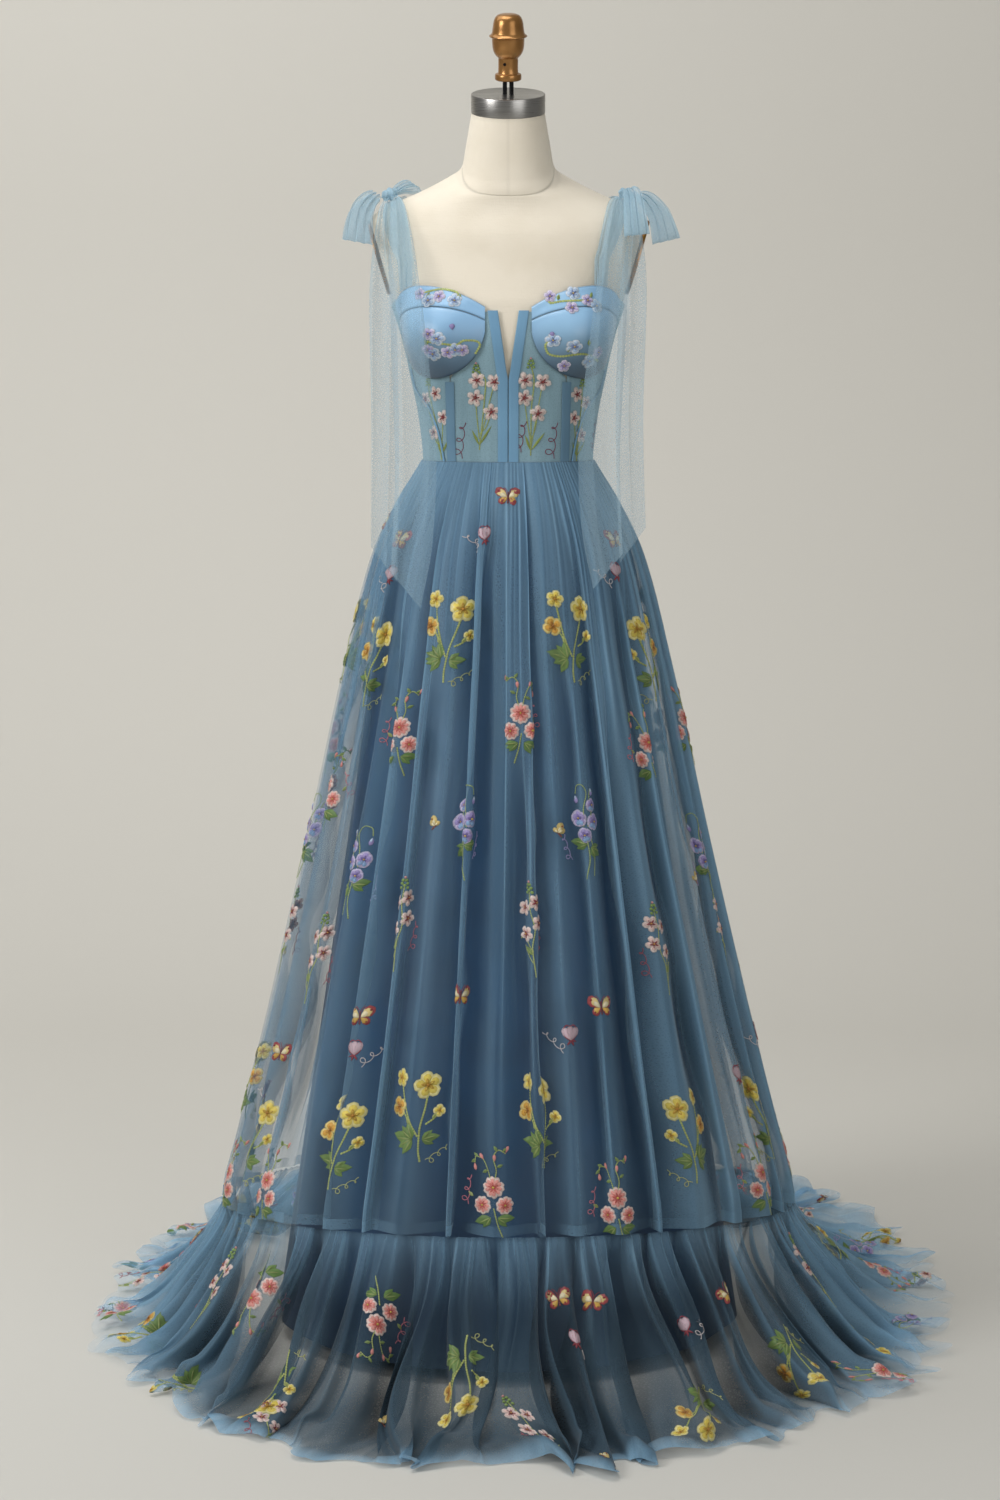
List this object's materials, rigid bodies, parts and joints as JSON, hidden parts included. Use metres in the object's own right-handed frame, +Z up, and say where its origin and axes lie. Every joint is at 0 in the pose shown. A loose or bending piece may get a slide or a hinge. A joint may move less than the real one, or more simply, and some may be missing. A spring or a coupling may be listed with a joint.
{
  "type": "ball gown on a dress form",
  "caption": "Floor-length tulle ball gown with a boned sheer bodice, satin cups, tied shoulder bows, a gathered skirt and a flounced hem, on a limbless dress form with a round stand.",
  "frame": {"origin": "on the floor, at the centre of the stand base's underside, under the pole", "axes": "+Z up along the pole, -Y to the front of the gown, +X to the wearer's left"},
  "size_m": [1.1793, 1.5191, 1.7101],
  "materials": {
    "tulle": "sheer matt net, dusty blue, embroidered",
    "lining_satin": "soft sheen, slate blue",
    "cup_satin": "satin sheen, cornflower blue",
    "linen": "plain weave, cream",
    "chrome": "polished",
    "copper_lacquer": "glossy copper lacquer",
    "bronze": "dark polished bronze",
    "dark_steel": "dark",
    "cast_iron": "black enamel"
  },
  "bodies": {
    "root": {"armhole_plate_left": "bronze", "armhole_plate_right": "bronze", "back_placket": "cup_satin", "bodice_back_left": "tulle", "bodice_back_right": "tulle", "bodice_front_left": "tulle", "bodice_front_right": "tulle", "bodice_side_front_left": "tulle", "bodice_side_front_right": "tulle", "bodice_side_left": "tulle", "bodice_side_right": "tulle", "bow_loop_back_right": "tulle", "bow_loop_front_left": "tulle", "bow_loop_outer_left": "tulle", "bow_loop_outer_right": "tulle", "casing_front_left": "cup_satin", "casing_front_right": "cup_satin", "casing_side_left": "cup_satin", "casing_side_right": "cup_satin", "cup_lower_left": "cup_satin", "cup_lower_right": "cup_satin", "cup_upper_left": "cup_satin", "cup_upper_right": "cup_satin", "form_body": "linen", "handle": "copper_lacquer", "handle_post": "dark_steel", "knot_left": "tulle", "knot_right": "tulle", "lining_gore_1": "lining_satin", "lining_gore_2": "lining_satin", "lining_gore_3": "lining_satin", "lining_gore_4": "lining_satin", "neck_cap": "chrome", "piping_left": "cup_satin", "piping_right": "cup_satin", "ruffle_1": "tulle", "ruffle_2": "tulle", "ruffle_3": "tulle", "ruffle_4": "tulle", "ruffle_5": "tulle", "ruffle_6": "tulle", "skirt_gore_1": "tulle", "skirt_gore_2": "tulle", "skirt_gore_3": "tulle", "skirt_gore_4": "tulle", "skirt_gore_5": "tulle", "skirt_gore_6": "tulle", "stand_base": "cast_iron", "stand_pole": "chrome", "strap_back_left": "tulle", "strap_back_right": "tulle", "strap_front_left": "tulle", "strap_front_right": "tulle", "tie_end_front_left": "tulle", "tie_end_front_right": "tulle", "tie_end_outer_left": "tulle", "tie_end_outer_right": "tulle"}
  },
  "joints": []
}
